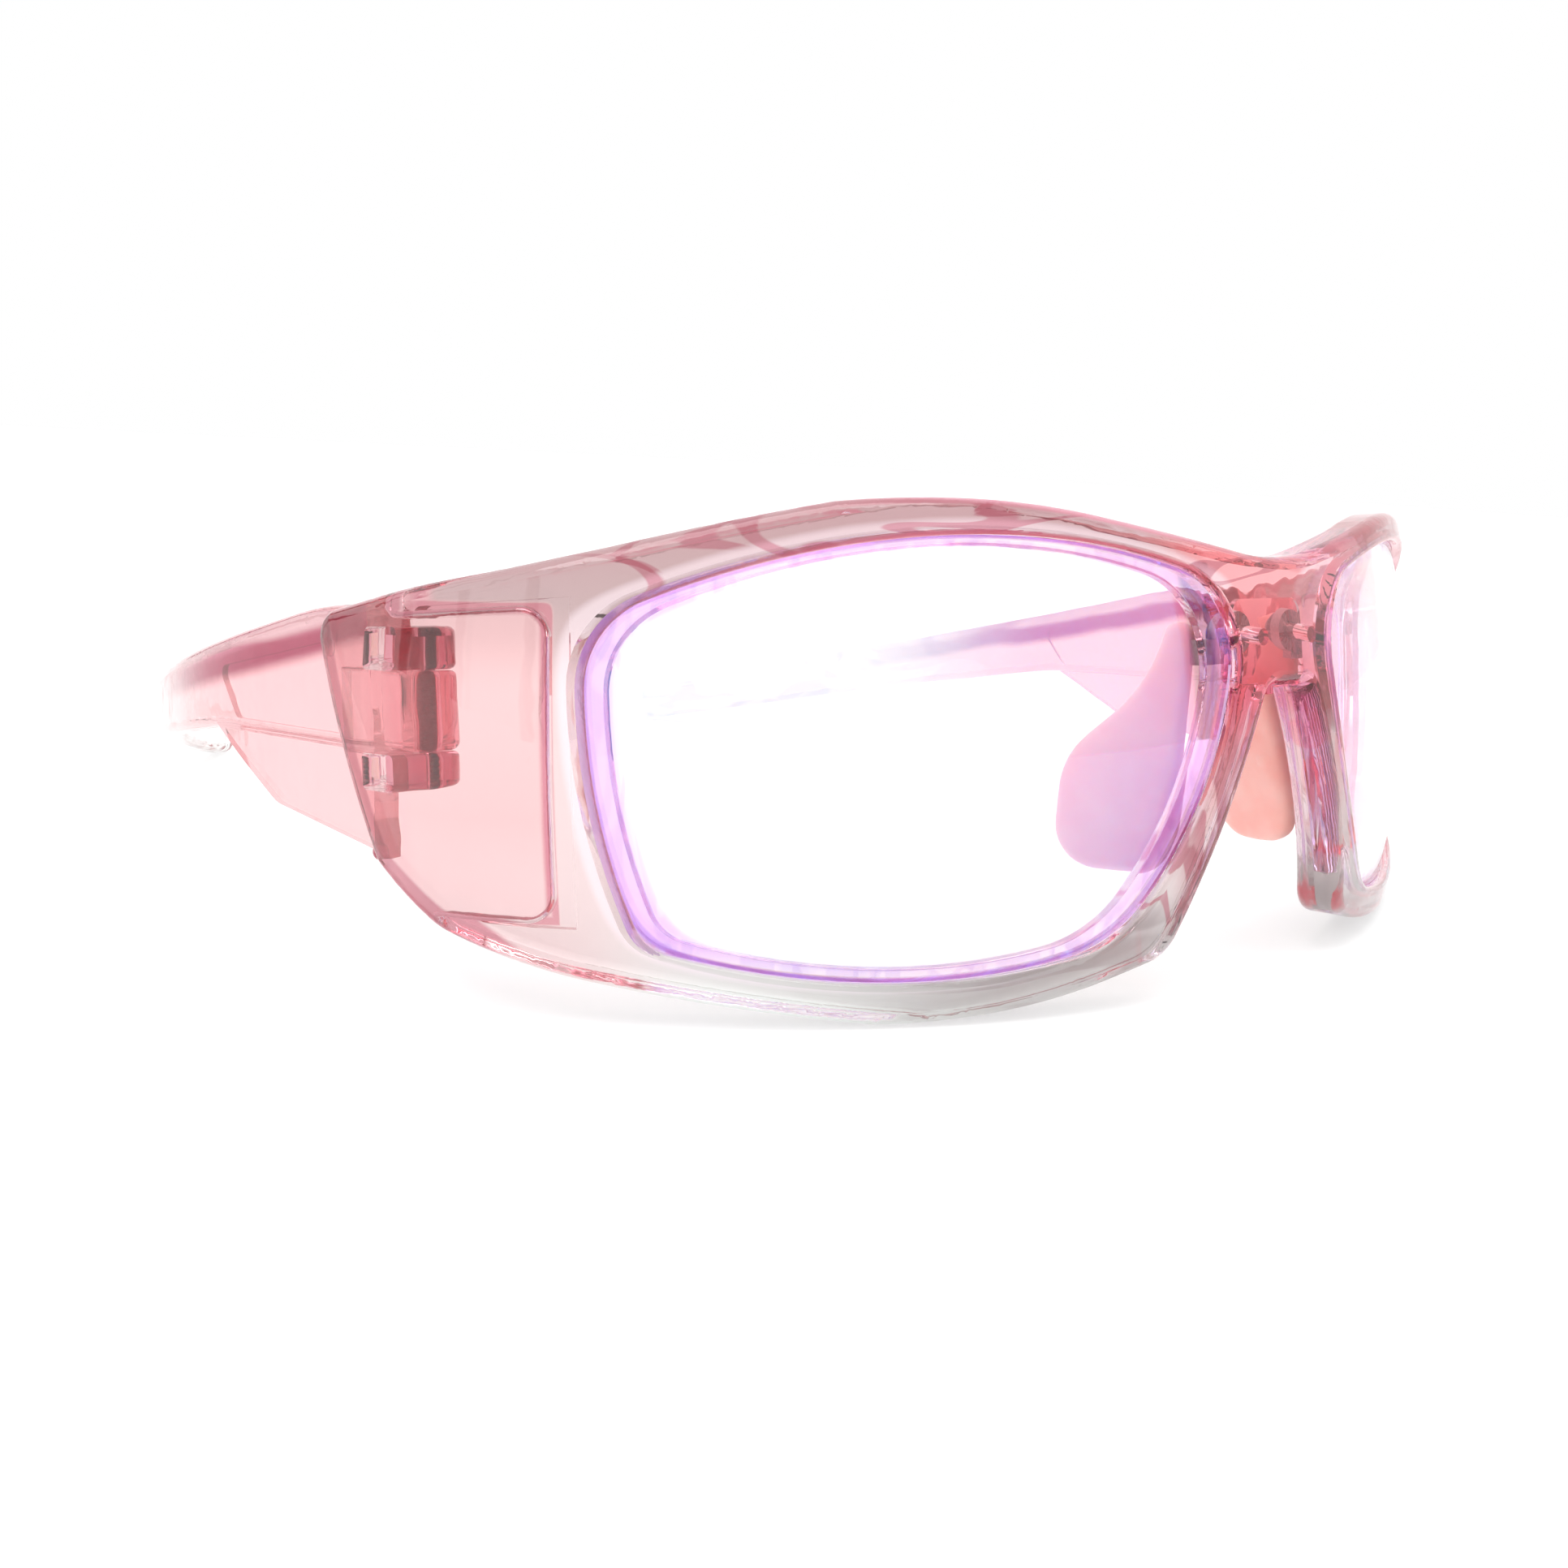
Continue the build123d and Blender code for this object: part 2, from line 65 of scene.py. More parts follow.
# Camera ------------------------------------------------------------------------------------------
CAMERA_AT = (-147.13, -89.87, 16.53)
CAMERA_AZIMUTH = radians(-41.95)
CAMERA_ELEVATION = radians(7.0)
CAMERA_ROLL = radians(-0.453)
FOCAL_SHARE = 2109.95 / 1932
SENSOR = 36.0
CLIP_START = 0.005

back = Vector((
    sin(CAMERA_AZIMUTH) * cos(CAMERA_ELEVATION),
    -cos(CAMERA_AZIMUTH) * cos(CAMERA_ELEVATION),
    sin(CAMERA_ELEVATION),
))
level = Vector((cos(CAMERA_AZIMUTH), sin(CAMERA_AZIMUTH), 0))
upright = back.cross(level)
right = cos(CAMERA_ROLL) * level + sin(CAMERA_ROLL) * upright
up = -sin(CAMERA_ROLL) * level + cos(CAMERA_ROLL) * upright
turn = Matrix.Rotation(-TILT, 3, "X") @ Matrix((right, up, back)).transposed()
camera_data = bpy.data.cameras.new("camera")
camera_data.sensor_width = SENSOR
camera_data.lens = SENSOR * FOCAL_SHARE
camera_data.clip_start = CLIP_START
camera = bpy.data.objects.new("camera", camera_data)
camera.matrix_world = Matrix.Translation(worn(*CAMERA_AT)) @ turn.to_4x4()
bpy.context.scene.collection.objects.link(camera)
bpy.context.scene.camera = camera


# Node helpers ------------------------------------------------------------------------------------
def new_material(name):
    """Node material with only its Principled shader and output."""
    material = bpy.data.materials.new(name)
    material.use_nodes = True
    return material, material.node_tree, material.node_tree.nodes["Principled BSDF"]


def node(tree, kind, **inputs):
    """Shader node with some inputs set or linked, by name with _ for spaces, or as i0, i1 and so on."""
    made = tree.nodes.new(kind)
    for key, value in inputs.items():
        numbered = key[0] == "i" and key[1:].isdigit()
        socket = made.inputs[int(key[1:]) if numbered else key.replace("_", " ")]
        if isinstance(value, bpy.types.NodeSocket):
            tree.links.new(value, socket)
        else:
            socket.default_value = value
    return made


def maths(tree, operation, *values, clamp=False):
    """Result of a Math node on these values or sockets."""
    made = node(tree, "ShaderNodeMath", **{f"i{i}": v for i, v in enumerate(values)})
    made.operation = operation
    made.use_clamp = clamp
    return made.outputs[0]


def product(tree, *values):
    """Product of two or more values or sockets."""
    found = values[0]
    for value in values[1:]:
        found = maths(tree, "MULTIPLY", found, value)
    return found


def vector(tree, operation, first, second=None):
    """Vector Math node on one or two vectors."""
    made = node(tree, "ShaderNodeVectorMath", i0=first)
    made.operation = operation
    if isinstance(second, bpy.types.NodeSocket):
        tree.links.new(second, made.inputs[1])
    elif second is not None:
        made.inputs[1].default_value = second
    return made


def smooth(tree, value, low, high, start=0.0, end=1.0):
    """Smooth change from start to end as value goes from low to high."""
    made = tree.nodes.new("ShaderNodeMapRange")
    made.interpolation_type = "SMOOTHSTEP"
    tree.links.new(value, made.inputs["Value"])
    for key, number in (("From Min", low), ("From Max", high), ("To Min", start), ("To Max", end)):
        made.inputs[key].default_value = number
    return made.outputs["Result"]


def mix(tree, factor, a, b):
    """Mix of two colours, each an RGB tuple or a socket."""
    made = tree.nodes.new("ShaderNodeMix")
    made.data_type = "RGBA"
    for socket, value in ((made.inputs[0], factor), (made.inputs[6], a), (made.inputs[7], b)):
        if isinstance(value, bpy.types.NodeSocket):
            tree.links.new(value, socket)
        elif isinstance(value, tuple):
            socket.default_value = (*value, 1)
        else:
            socket.default_value = value
    return made.outputs[2]


def ramp(tree, value, stops):
    """Colour that changes along a value, from (value, colour) stops in rising order."""
    low, high = stops[0][0], stops[-1][0]
    share = maths(tree, "DIVIDE", maths(tree, "SUBTRACT", value, low), high - low, clamp=True)
    made = node(tree, "ShaderNodeValToRGB", Fac=share)
    elements = made.color_ramp.elements
    for number, (at, colour) in enumerate(stops):
        place = (at - low) / (high - low)
        element = elements[min(number, 1)] if number < 2 else elements.new(place)
        element.position = place
        element.color = (*colour, 1)
    return made.outputs["Color"]


def streaks(tree, point, stretch, low, high, soft, bend=1.5, shift=(0, 0, 0)):
    """Share of a stretched noise that lies between two levels: long curling streaks."""
    drawn = node(tree, "ShaderNodeVectorMath", i0=point, i1=stretch, i2=shift)
    drawn.operation = "MULTIPLY_ADD"
    noise = node(tree, "ShaderNodeTexNoise", Vector=drawn.outputs[0], Scale=1.0, Detail=1.0, Distortion=bend)
    rise = smooth(tree, noise.outputs["Fac"], low - soft, low)
    fall = smooth(tree, noise.outputs["Fac"], high, high + soft, 1.0, 0.0)
    return product(tree, rise, fall)


def worn_turn(tree, direction):
    """A direction of the row turned back to how the glasses are worn."""
    turned = node(tree, "ShaderNodeVectorRotate", Vector=direction, Angle=TILT)
    turned.rotation_type = "X_AXIS"
    return turned.outputs[0]


def worn_axes(tree):
    """The shaded point as worn, in millimetres, and its X, Y and Z: object coordinates turned back."""
    coordinates = tree.nodes.new("ShaderNodeTexCoord").outputs["Object"]
    shifted = vector(tree, "SUBTRACT", coordinates, tuple(REST_SHIFT))
    scaled = vector(tree, "SCALE", worn_turn(tree, shifted.outputs[0]))
    scaled.inputs["Scale"].default_value = MM_PER_METRE
    split = node(tree, "ShaderNodeSeparateXYZ", Vector=scaled.outputs[0])
    return scaled.outputs[0], split.outputs[0], split.outputs[1], split.outputs[2]


def bump(tree, shader, point, scale, height, detail=3.0):
    """Fine uneven surface from noise; scale is per millimetre and height in metres."""
    noise = node(tree, "ShaderNodeTexNoise", Vector=point, Scale=scale, Detail=detail)
    made = node(tree, "ShaderNodeBump", Height=noise.outputs["Fac"], Strength=1.0, Distance=height)
    tree.links.new(made.outputs[0], shader.inputs["Normal"])
    return noise.outputs["Fac"]


def absorb(tree, colour, density):
    """Volume that takes light out of a clear plastic along its path."""
    volume = node(tree, "ShaderNodeVolumeAbsorption", Color=(*colour, 1), Density=density)
    tree.links.new(volume.outputs[0], tree.nodes["Material Output"].inputs["Volume"])


# Nose pads as worn, in mm: their plane, the crown of the round part, and the mark of the arm's peg.
PAD_CENTRE = (11.0, 10.0, -3.3)
PAD_SPLAY = radians(16.1)
PAD_LEAN = radians(14.4)
PAD_CROWN = 0.9
PAD_CROWN_AT = (2.7, -2.0)
PAD_CROWN_R = (5.6, 9.0)
PEG_AT = (-1.4, 0.5)
PEG_R = 0.9
PEG_WIDTH = 0.35
PEG_DEPTH = 0.25
# Mesh of the pads: the size of its cells in metres, and how it is smoothed.
PAD_VOXEL = 0.00035
PAD_SMOOTH_SHARE = 0.5
PAD_SMOOTH_TIMES = 4

# Shape of the front, in mm: the wrap and the sides, and the thin shield's room in each side.
WRAP_R = 95.0
SIDE_R = 28.0
WRAP_TURN = radians(43.2)
SIDE_CENTRE = (45.87, 46.16)
SHIELD_START = radians(51.0)
SHIELD_BOTTOM_Z = -13.1
SHIELD_TOP_Z = 14.0
SHIELD_TOP_BLEND = 1.5
# Rear edges of the sides in the side view: a point (Y, Z) of each, and its lean from upright.
SIDE_REAR_LINES = ((58.4, 13.15, radians(26.9)), (47.2, -8.9, radians(55.2)))
# Outline of a lens in its own plane, and the share of it that the lip leaves open.
LENS_X = 36.7
LENS_TILT = radians(22.7)
LENS_CORNERS = ((35.6, 12.4), (-26.5, 14.4), (-12.0, -17.6), (31.4, -15.0))
LENS_MIDS = ((4.5, 19.7), (-23.2, -1.6), (9.7, -19.2), (35.5, -1.3))
LENS_CORNER_BLEND = 5.0
LIP_CENTRE_X = 4.5
LIP_SHARE = (0.915, 0.945)
# Temple: the slope of its arm, level with the worn axes at this Y.
ARM_SLOPE = 0.15
ARM_SLOPE_Y = 60.0

# Clear plastic ----------------------------------------------------------------------------------
# Light is tinted both where it enters and where it leaves, so these colours show about squared.
DYE = (0.96, 0.45, 0.48)
FRAME_DENSITY = 18.0
TEMPLE_DENSITY = 10.0
PLASTIC_IOR = 1.5
LENS_IOR = 1.6
FLOW_SCALE = 0.08
FLOW_HEIGHT = 0.00015
FLOW_RANGE = (0.3, 0.8)
FLOW_ROUGHNESS = 0.06

# Frame: colours by height in mm, and the colours of its details.
# Pink of the plastic above, fading to clear below; all these tones are also greyed and darkened as painted
# shade.
FACE_TONES = (
    (-22.0, (0.68, 0.74, 0.72)),
    (-16.0, (0.76, 0.78, 0.77)),
    (-8.5, (0.74, 0.72, 0.72)),
    (4.0, (0.75, 0.56, 0.56)),
    (14.0, (0.48, 0.36, 0.36)),
    (21.0, (0.46, 0.30, 0.31)),
)
PANEL_TONES = ((-14.0, (0.86, 0.60, 0.61)), (-4.0, (0.85, 0.42, 0.43)), (12.0, (0.88, 0.48, 0.49)))
BRIDGE_TONES = (
    (-19.0, (0.52, 0.52, 0.50)),
    (-6.0, (0.58, 0.34, 0.35)),
    (5.0, (0.66, 0.10, 0.16)),
    (14.0, (0.86, 0.36, 0.38)),
)
FLANK_PINK = (0.76, 0.62, 0.62)
# Crimson of the painted shade on turned edges and on the step of the shield's room.
CRIMSON = (0.50, 0.08, 0.13)
# Painted reflection of the lens's violet coat on the rim round the opening.
OPENING_VIOLET_REFLECTION = (0.70, 0.50, 0.84)
OPENING_LILAC_REFLECTION = (0.96, 0.90, 0.98)
# Streak colours: red in the brow, red painted shade beside the nose, and grey painted shade along the low
# rim and beside the nose.
STREAK_RED = (0.34, 0.09, 0.12)
STREAK_GREY_SHADE = (0.30, 0.26, 0.26)
NASAL_GREY = (0.58, 0.50, 0.49)
# Dark red painted shade along the rear edges of the sides.
REAR_EDGE_SHADE_RED = (0.42, 0.10, 0.14)
HINGE_RED = (0.84, 0.36, 0.41)
# Where each detail starts and is full, in mm. SIDE is the distance from the middle plane, DEPTH the
# distance below the wrap's outer face, and EDGE the distance inside an outline.
PANEL_DEPTH = (1.2, 1.8)
PANEL_EDGE = (-0.3, 0.2)
FLANK_SIDE = (56.0, 66.0)
FLANK_Z = (12.0, 6.0)
BRIDGE_SIDE = (20.0, 7.0)
BARREL_Y = (42.0, 43.5)
BARREL_DEPTH = (2.3, 2.6)
BROW_STREAKS = {"stretch": (0.035, 0.035, 0.16), "low": 0.52, "high": 0.56, "soft": 0.012}
BROW_SHIFT = (-0.23, 0.11, 0.1)
BROW_Z = (13.0, 16.0)
BROW_SIDE = (68.0, 60.0)
LOW_STREAKS = {"stretch": (0.025, 0.025, 0.14), "low": 0.54, "high": 0.59, "soft": 0.03}
LOW_STREAK_Z = (-9.0, -14.0)
LOW_STREAK_SHARE = 0.4
LOW_RIM_Z = (-12.0, -17.0)
LOW_RIM_SIDE = (50.0, 28.0)
NASAL_STREAKS = {"stretch": (0.16, 0.16, 0.04), "low": 0.46, "high": 0.54, "soft": 0.03, "bend": 0.8}
NASAL_SIDE = (17.0, 13.0)
NASAL_Z = (5.0, 0.0)
NASAL_RED_X = (2.0, -2.0)
NASAL_GREY_X = (-2.0, 2.0)
NASAL_GREY_SHARE = 0.7
# Where the painted reflection of the lens coat round the opening starts and is full.
OPENING_EDGE = (-1.4, -0.6)
OPENING_DEPTH = (0.2, 0.6)
VIOLET_DEPTH = (2.2, 1.3)
VIOLET_ACROSS = (20.0, 30.0)
# Where the painted crimson edge shade starts and is full.
TURNED_FACING = (0.99, 0.85)
CRIMSON_Z = (-18.0, -6.0)
CRIMSON_DEPTH = (1.3, 2.2)
CRIMSON_SIDE = (55.0, 38.0)
CRIMSON_Y = (42.0, 46.0)
CRIMSON_NASAL_SIDE = (14.0, 22.0)
CRIMSON_NASAL_Z = (-2.0, 6.0)
CRIMSON_SHARE = (0.2, 0.9)
# Painted shade line along the step of the shield's room.
ROOM_LINE_INNER = (1.0, 0.5)
ROOM_LINE_OUTER = (-0.15, 0.05)
ROOM_LINE_DEPTH = (2.0, 2.2)
ROOM_LINE_Y = (46.0, 44.0)
ROOM_LINE_SHARE = 0.85
# Where the painted shade along the rear edges starts and is full.
REAR_EDGE = (-1.7, -1.2)
REAR_EDGE_SIDE = (60.0, 63.0)

# Temples: colours by height above the arm's middle in mm, and by distance back.
TEMPLE_TONES = (
    (-9.0, (0.88, 0.54, 0.55)),
    (9.6, (0.86, 0.48, 0.50)),
    (10.8, (0.34, 0.03, 0.08)),
    (12.4, (0.36, 0.04, 0.09)),
    (13.2, (0.68, 0.42, 0.44)),
)
# The clear tip, and the grey of the painted shade streaked over it.
TEMPLE_CLEAR = (0.885, 0.895, 0.87)
TEMPLE_SHADE = (0.74, 0.73, 0.72)
TONGUE_RED = (0.72, 0.21, 0.27)
WAVE_STREAKS = {"stretch": (0.02, 0.02, 0.06), "low": 0.45, "high": 0.55, "soft": 0.15}
WAVE_HEIGHT = 0.6
CLEAR_SHADE_STREAKS = {"stretch": (0.11, 0.03, 0.11), "low": 0.47, "high": 0.56, "soft": 0.05}
CLEAR_Y = (84.0, 126.0)
ROOT_Y = (52.0, 48.5)
TONGUE_Y = (46.0, 44.8)

# Lenses: the film's thickness in nanometres, the colours, most of them painted violet reflection of the
# coat, and where each starts and is full.
FILM_NM = (231.0, 247.0)
FILM_IOR = 2.3
LENS_CLEAR = (0.945, 0.942, 0.966)
# Painted violet reflection of the coat: the band before the lip, the dark line at the outline, the lilac and
# the nose side.
LENS_BAND_REFLECTION = (0.84, 0.62, 0.95)
LENS_LINE = (0.45, 0.24, 0.74)
LENS_LILAC_REFLECTION = (0.96, 0.86, 1.0)
LENS_NASAL = (0.88, 0.72, 0.97)
LILAC_ACROSS = (-6.0, -22.0)
LILAC_SHARE = 0.8
LENS_NASAL_ACROSS = (-17.0, -24.0)
LENS_FACE_EDGE = (-0.3, -0.1)
BAND_EDGE = (0.5, -0.1)
BAND_ACROSS = (14.0, 27.0)
BAND_SHARE = (0.12, 1.0)
LENS_STREAKS = {"stretch": (0.25, 0.25, 0.08), "low": 0.44, "high": 0.52, "soft": 0.04, "bend": 0.6}
LENS_STREAK_EDGE = (0.4, -0.2)
LENS_STREAK_SHARE = 0.35
LENS_LINE_EDGE = (0.45, 0.2)
GRAIN_SCALE = 0.05
GRAIN_HEIGHT = 0.00002
GRAIN_RANGE = (0.3, 0.7)
LENS_ROUGHNESS = 0.02

# Metal and silicone -----------------------------------------------------------------------------
SCREW_COLOUR = (0.42, 0.26, 0.28)
SCREW_ROUGHNESS = 0.25
SCREW_LINES = (1, 1, 8)
ARM_COLOUR = (0.72, 0.64, 0.65)
ARM_ROUGHNESS = 0.3
ARM_LINES = (8, 8, 1)
LINES_SCALE = 3.0
LINES_DETAIL = 4.0
LINES_RANGE = (0.3, 0.7)
LINES_DARK = 0.6
LINES_ROUGHNESS = 0.15
LINES_STRENGTH = 0.6
LINES_HEIGHT = 0.00002
SILICONE_TONES = ((0.93, 0.47, 0.42), (0.96, 0.55, 0.50))
SILICONE_CLOUD = 0.25
SILICONE_RANGE = (0.3, 0.7)
SILICONE_ROUGHNESS = 0.55
SILICONE_SUBSURFACE = 0.6
SILICONE_RADIUS = (1.0, 0.5, 0.4)
SILICONE_REACH = 0.002
SILICONE_GRAIN = (6.0, 0.00001)


def clear_plastic(name, ior):
    """Polished moulded plastic with a clear body, its colour left to set."""
    material, tree, shader = new_material(name)
    shader.inputs["Transmission Weight"].default_value = 1.0
    shader.inputs["IOR"].default_value = ior
    return material, tree, shader


def wrap_shape(tree, x, y, z):
    """How far a point is below the wrap's outer face, how squarely its surface faces along it, and how
    far the point is behind the front of the shield's room; millimetres."""
    side = maths(tree, "ABSOLUTE", x)
    ahead = maths(tree, "SUBTRACT", y, WRAP_R)
    bend_x = maths(tree, "SUBTRACT", side, SIDE_CENTRE[0])
    bend_y = maths(tree, "MINIMUM", maths(tree, "SUBTRACT", y, SIDE_CENTRE[1]), 0.0)
    squares = maths(tree, "ADD", maths(tree, "POWER", bend_x, 2.0), product(tree, bend_y, bend_y))
    bend = maths(tree, "SQRT", squares)
    stretch = maths(tree, "ADD", maths(tree, "DIVIDE", WRAP_R - SIDE_R, bend), 1.0)
    bend_turn = maths(tree, "ARCTAN2", bend_x, product(tree, bend_y, -1.0))
    out, back = product(tree, side, cos(WRAP_TURN)), product(tree, ahead, -sin(WRAP_TURN))
    turned = maths(tree, "GREATER_THAN", out, back)

    def choose(front, rear):
        change = product(tree, maths(tree, "SUBTRACT", rear, front), turned)
        return maths(tree, "ADD", front, change)

    across = choose(side, product(tree, bend_x, stretch))
    along = choose(ahead, product(tree, bend_y, stretch))
    outward = node(tree, "ShaderNodeCombineXYZ", X=across, Y=along, Z=z).outputs[0]
    depth = maths(tree, "SUBTRACT", WRAP_R, vector(tree, "LENGTH", outward).outputs["Value"])
    unit = vector(tree, "NORMALIZE", outward).outputs[0]
    normal = worn_turn(tree, tree.nodes.new("ShaderNodeNewGeometry").outputs["Normal"])
    parts = node(tree, "ShaderNodeSeparateXYZ", Vector=normal)
    mirrored = product(tree, parts.outputs[0], maths(tree, "SIGN", x))
    folded = node(tree, "ShaderNodeCombineXYZ", X=mirrored, Y=parts.outputs[1], Z=parts.outputs[2])
    facing = vector(tree, "DOT_PRODUCT", unit, folded.outputs[0]).outputs["Value"]
    past_start = product(tree, maths(tree, "SUBTRACT", bend_turn, SHIELD_START), SIDE_R)
    return depth, maths(tree, "ABSOLUTE", facing), past_start


def polish(tree, shader, point):
    """Slow flow of a moulded surface, and the slight changes in polish that go with it."""
    flow = bump(tree, shader, point, FLOW_SCALE, FLOW_HEIGHT)
    tree.links.new(smooth(tree, flow, *FLOW_RANGE, 0.0, FLOW_ROUGHNESS), shader.inputs["Roughness"])


def three_point_circle(a, b, c):
    """Centre and radius of the circle through three points."""
    (ax, ay), (bx, by), (cx, cy) = a, b, c
    twice_area = 2 * (ax * (by - cy) + bx * (cy - ay) + cx * (ay - by))
    squares = [px**2 + py**2 for px, py in (a, b, c)]
    x = (squares[0] * (by - cy) + squares[1] * (cy - ay) + squares[2] * (ay - by)) / twice_area
    y = (squares[0] * (cx - bx) + squares[1] * (ax - cx) + squares[2] * (bx - ax)) / twice_area
    return (x, y), ((ax - x) ** 2 + (ay - y) ** 2) ** 0.5


def lens_across(tree, x, y):
    """Distance across a lens's own plane, outwards from its middle."""
    out = maths(tree, "SUBTRACT", maths(tree, "ABSOLUTE", x), LENS_X)
    return maths(tree, "ADD", product(tree, out, cos(LENS_TILT)), product(tree, y, sin(LENS_TILT)))


def inside_outline(tree, across, height):
    """Distance, in mm, of a point of the lens plane from the outline, growing inwards."""
    at = node(tree, "ShaderNodeCombineXYZ", X=across, Y=height).outputs[0]
    nearest = None
    for number, middle in enumerate(LENS_MIDS):
        following = LENS_CORNERS[(number + 1) % len(LENS_CORNERS)]
        centre, radius = three_point_circle(LENS_CORNERS[number], middle, following)
        away = vector(tree, "DISTANCE", at, (*centre, 0)).outputs["Value"]
        inside = maths(tree, "SUBTRACT", radius, away)
        nearest = maths(tree, "SMOOTH_MIN", nearest, inside, LENS_CORNER_BLEND) if nearest else inside
    return nearest


def beyond_line(tree, y, z, at_y, at_z, lean):
    """Distance rearwards past a straight line of the side view, from a point and its lean."""
    back = product(tree, maths(tree, "SUBTRACT", y, at_y), cos(lean))
    return maths(tree, "SUBTRACT", back, product(tree, maths(tree, "SUBTRACT", z, at_z), sin(lean)))


def add_streaks(tree, face, point, x, z, side):
    """Curling streaks and shade: red streaks in the brow; streaked grey painted shade along the low rim;
    beside the nose, red painted shade streaks on the side towards negative X and grey painted shade streaks
    on the other.
    """
    brow = streaks(tree, point, **BROW_STREAKS, shift=BROW_SHIFT)
    brow = product(tree, brow, smooth(tree, z, *BROW_Z), smooth(tree, side, *BROW_SIDE))
    face = mix(tree, brow, face, STREAK_RED)
    grey = product(tree, streaks(tree, point, **LOW_STREAKS), smooth(tree, z, *LOW_STREAK_Z))
    grey = maths(tree, "MULTIPLY_ADD", grey, LOW_STREAK_SHARE, 1 - LOW_STREAK_SHARE)
    low = product(tree, smooth(tree, z, *LOW_RIM_Z), smooth(tree, side, *LOW_RIM_SIDE), grey)
    face = mix(tree, low, face, STREAK_GREY_SHADE)
    nasal = product(tree, smooth(tree, side, *NASAL_SIDE), smooth(tree, z, *NASAL_Z))
    nasal = product(tree, nasal, streaks(tree, point, **NASAL_STREAKS))
    face = mix(tree, product(tree, nasal, smooth(tree, x, *NASAL_RED_X)), face, STREAK_RED)
    grey_side = smooth(tree, x, *NASAL_GREY_X, 0.0, NASAL_GREY_SHARE)
    return mix(tree, product(tree, nasal, grey_side), face, NASAL_GREY)


def painted_edge_shade(tree, depth, facing, opening, side, y, z):
    """Painted crimson shade where the moulding turns an edge, 0 to 1."""
    turn = product(
        tree, smooth(tree, facing, *TURNED_FACING), smooth(tree, opening, 0.0, 1.0, 1.0, 0.0)
    )
    off_nose = maths(
        tree, "MAXIMUM", smooth(tree, side, *CRIMSON_NASAL_SIDE), smooth(tree, z, *CRIMSON_NASAL_Z)
    )
    inside = maths(tree, "MAXIMUM", smooth(tree, depth, *CRIMSON_DEPTH), smooth(tree, side, *CRIMSON_SIDE))
    rear = maths(tree, "MAXIMUM", inside, smooth(tree, y, *CRIMSON_Y))
    share = smooth(tree, rear, 0.0, 1.0, *CRIMSON_SHARE)
    return product(tree, turn, product(tree, smooth(tree, z, *CRIMSON_Z), off_nose), share)


def frame_plastic():
    """Pink above, fading to clear below and greyed with painted shade, with painted crimson shade where the
    moulding turns an edge, along the step of the shield's room and along the rear edges, and a painted
    reflection of the lens coat round the opening.
    """
    material, tree, shader = clear_plastic("frame_plastic", PLASTIC_IOR)
    point, x, y, z = worn_axes(tree)
    depth, facing, past_start = wrap_shape(tree, x, y, z)
    side = maths(tree, "ABSOLUTE", x)
    across = lens_across(tree, x, y)

    # Distance inside the shield's room, seen from the side.
    room = maths(tree, "MINIMUM", past_start, maths(tree, "SUBTRACT", z, SHIELD_BOTTOM_Z))
    room = maths(tree, "SMOOTH_MIN", room, maths(tree, "SUBTRACT", SHIELD_TOP_Z, z), SHIELD_TOP_BLEND)

    face = ramp(tree, z, FACE_TONES)
    flank = product(tree, smooth(tree, side, *FLANK_SIDE), smooth(tree, z, *FLANK_Z))
    face = mix(tree, flank, face, FLANK_PINK)
    panel = product(tree, smooth(tree, depth, *PANEL_DEPTH), smooth(tree, room, *PANEL_EDGE))
    face = mix(tree, panel, face, ramp(tree, z, PANEL_TONES))
    face = mix(tree, smooth(tree, side, *BRIDGE_SIDE), face, ramp(tree, z, BRIDGE_TONES))
    barrel = product(tree, smooth(tree, y, *BARREL_Y), smooth(tree, depth, *BARREL_DEPTH))
    face = mix(tree, barrel, face, HINGE_RED)
    face = add_streaks(tree, face, point, x, z, side)

    # Painted violet and lilac reflection of the lens's coat on the rim round the opening.
    opening = smooth(tree, inside_outline(tree, across, z), *OPENING_EDGE)
    opening = product(tree, opening, smooth(tree, depth, *OPENING_DEPTH))
    violet = product(tree, smooth(tree, depth, *VIOLET_DEPTH), smooth(tree, across, *VIOLET_ACROSS))
    face = mix(tree, opening, face, mix(tree, violet, OPENING_LILAC_REFLECTION, OPENING_VIOLET_REFLECTION))

    # Painted crimson shade line along the step of the shield's room.
    line = product(tree, smooth(tree, room, *ROOM_LINE_INNER), smooth(tree, room, *ROOM_LINE_OUTER))
    line = product(tree, line, smooth(tree, depth, *ROOM_LINE_DEPTH), smooth(tree, y, *ROOM_LINE_Y))
    face = mix(tree, product(tree, line, ROOM_LINE_SHARE), face, CRIMSON)
    # Painted crimson shade where the moulding turns an edge.
    face = mix(tree, painted_edge_shade(tree, depth, facing, opening, side, y, z), face, CRIMSON)

    # Painted dark red shade along the rear edges of the sides.
    rear_lines = [beyond_line(tree, y, z, *line) for line in SIDE_REAR_LINES]
    rear_edge = smooth(tree, maths(tree, "MAXIMUM", *rear_lines), *REAR_EDGE)
    rear_edge = product(tree, rear_edge, smooth(tree, side, *REAR_EDGE_SIDE))
    tree.links.new(mix(tree, rear_edge, face, REAR_EDGE_SHADE_RED), shader.inputs["Base Color"])
    polish(tree, shader, point)
    absorb(tree, DYE, FRAME_DENSITY)
    return material


